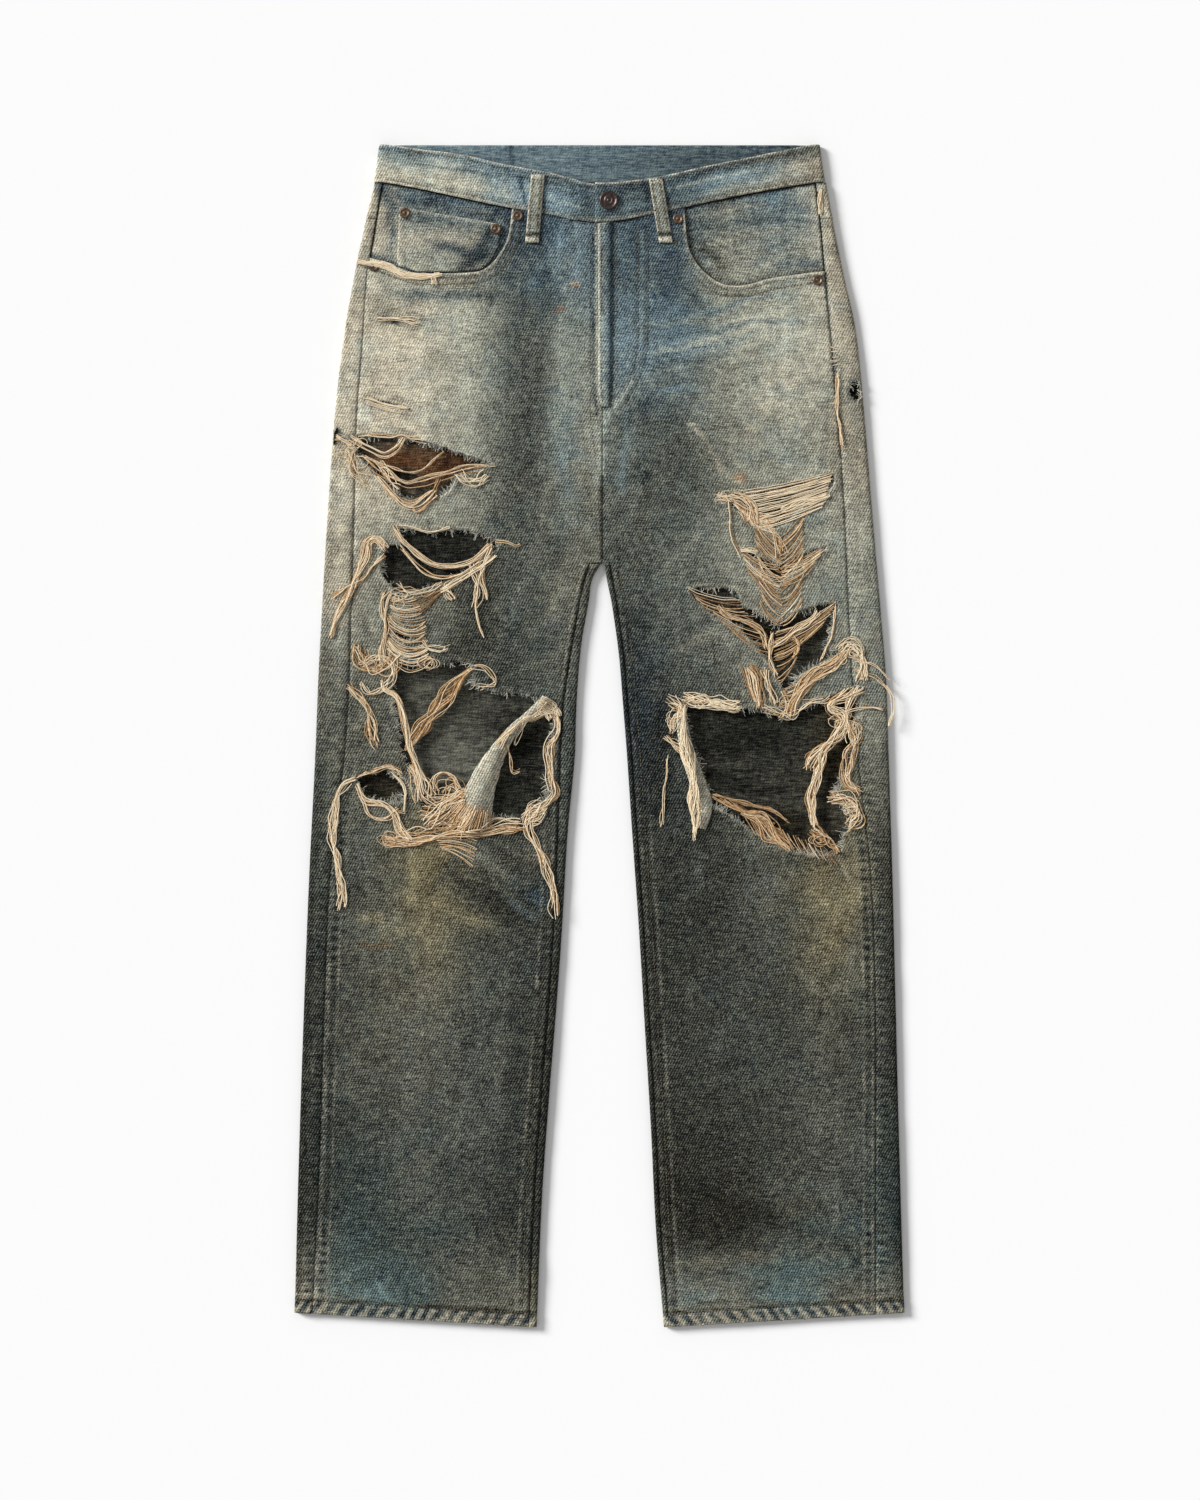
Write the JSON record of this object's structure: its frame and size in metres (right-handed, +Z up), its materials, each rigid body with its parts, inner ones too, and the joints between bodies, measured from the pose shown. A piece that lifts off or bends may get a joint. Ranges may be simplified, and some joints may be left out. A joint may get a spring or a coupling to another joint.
{
  "type": "ripped jeans",
  "caption": "Worn straight-leg denim jeans laid flat, button fly, with large frayed rips and knee holes, and loose threads.",
  "frame": {"origin": "middle of the garment's outline, on the surface it lies on", "axes": "+X across the garment to the wearer's left, +Y from the hems to the waist, +Z up out of the front"},
  "size_m": [0.5676, 1.1, 0.0161],
  "materials": {
    "denim_worn": "soft matt twill, washed and soiled",
    "denim_blue": "matt twill, indigo where less worn",
    "denim_reverse": "pale reverse of the twill",
    "frayed_threads": "loose unbleached cotton weft yarn",
    "copper_rivets": "worn, oxidised copper",
    "shank_button": "dark oxidised metal, rubbed at the rim"
  },
  "bodies": {
    "root": {"back_left": "denim_worn", "back_right": "denim_worn", "button": "shank_button", "coin_pocket": "denim_blue", "facing_left": "denim_blue", "facing_right": "denim_blue", "flap_left": "denim_reverse", "flap_right": "denim_reverse", "fly_edge": "denim_blue", "front_left": "denim_worn", "front_right": "denim_worn", "loop_centre": "denim_worn", "loop_front_left": "denim_worn", "loop_front_right": "denim_worn", "loop_side_left": "denim_worn", "loop_side_right": "denim_worn", "pocket_back_left": "denim_worn", "pocket_back_right": "denim_worn", "rivet_coin_inner": "copper_rivets", "rivet_coin_outer": "copper_rivets", "rivet_inner_left": "copper_rivets", "rivet_inner_right": "copper_rivets", "rivet_side_left": "copper_rivets", "rivet_side_right": "copper_rivets", "threads_arc_right": "frayed_threads", "threads_arch_right": "frayed_threads", "threads_band_left": "frayed_threads", "threads_column_left": "frayed_threads", "threads_corner_left": "frayed_threads", "threads_fall_right": "frayed_threads", "threads_inner_right": "frayed_threads", "threads_knee_left": "frayed_threads", "threads_knee_right": "frayed_threads", "threads_knot_left": "frayed_threads", "threads_ladder_right": "frayed_threads", "threads_leaf_right": "frayed_threads", "threads_lobe_right": "frayed_threads", "threads_loop_right": "frayed_threads", "threads_side_left": "frayed_threads", "threads_side_right": "frayed_threads", "threads_spread_left": "frayed_threads", "threads_tassel_left": "frayed_threads", "threads_tassel_right": "frayed_threads", "threads_thigh_left": "frayed_threads", "threads_thigh_right": "frayed_threads", "threads_vee_left": "frayed_threads", "waistband": "denim_blue", "yoke_left": "denim_worn", "yoke_right": "denim_worn"}
  },
  "joints": []
}
